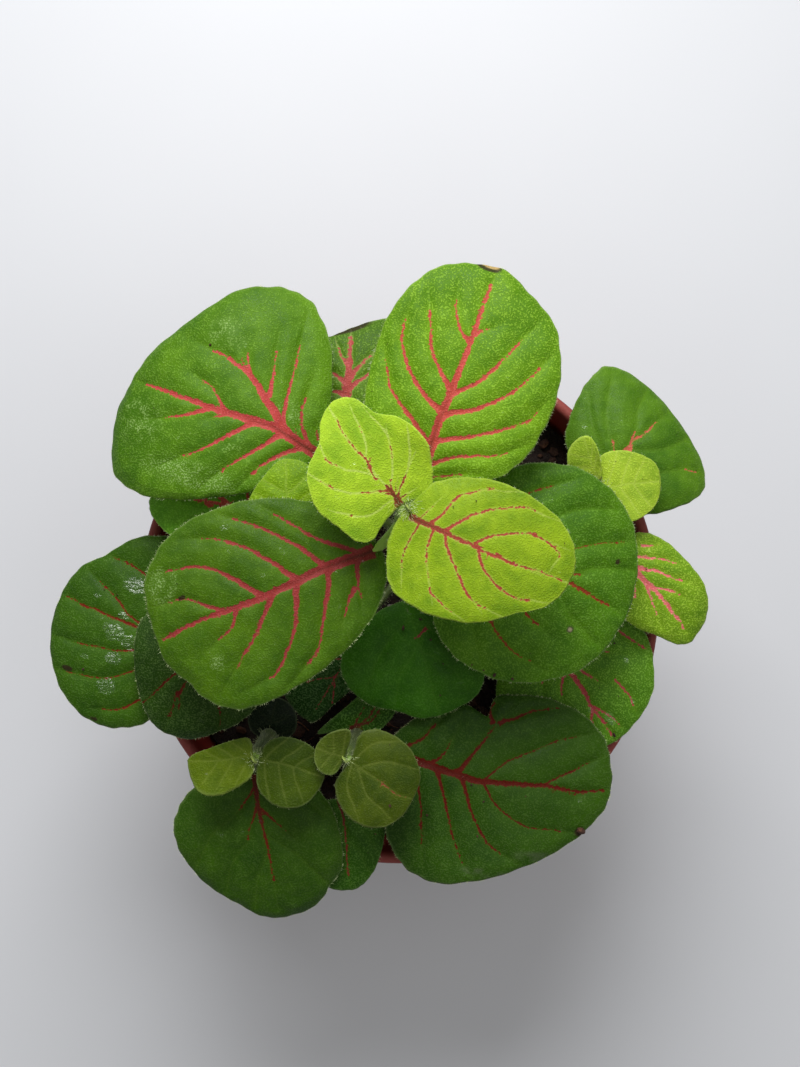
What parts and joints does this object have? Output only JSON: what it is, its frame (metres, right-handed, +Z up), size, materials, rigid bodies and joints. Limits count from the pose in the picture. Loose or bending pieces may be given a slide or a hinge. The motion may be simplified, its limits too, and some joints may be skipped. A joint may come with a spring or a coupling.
{
  "type": "potted nerve plant",
  "caption": "Pink-veined nerve plant with broad green leaves and lime young tips, standing in peat in a small round plastic nursery pot.",
  "frame": {"origin": "centre of the flat underside of the pot", "axes": "+Z up along the pot's axis; seen from above, +X is the picture's right and +Y its top"},
  "size_m": [0.1127, 0.1085, 0.1073],
  "materials": {
    "pot_plastic": "thin brown-red moulded plastic, dusty at the lip",
    "peat": "damp dark peat with brown fibres",
    "green_leaf": "living leaf, finely hairy, with pink veins",
    "lime_leaf": "young living leaf, soft and finely hairy"
  },
  "bodies": {
    "root": {"pot": "pot_plastic", "soil": "peat", "leafy_stem_main": "green_leaf", "leafy_stem_north_east": "green_leaf", "leafy_stem_east": "green_leaf", "leafy_stem_north_west": "green_leaf", "leafy_stem_west": "green_leaf", "leafy_stem_south": "green_leaf", "leafy_stem_south_west": "green_leaf", "young_tip_main": "lime_leaf", "young_tip_north_east": "lime_leaf", "young_tip_north_west": "lime_leaf", "young_tip_south": "lime_leaf", "young_tip_south_west": "lime_leaf"}
  },
  "joints": []
}
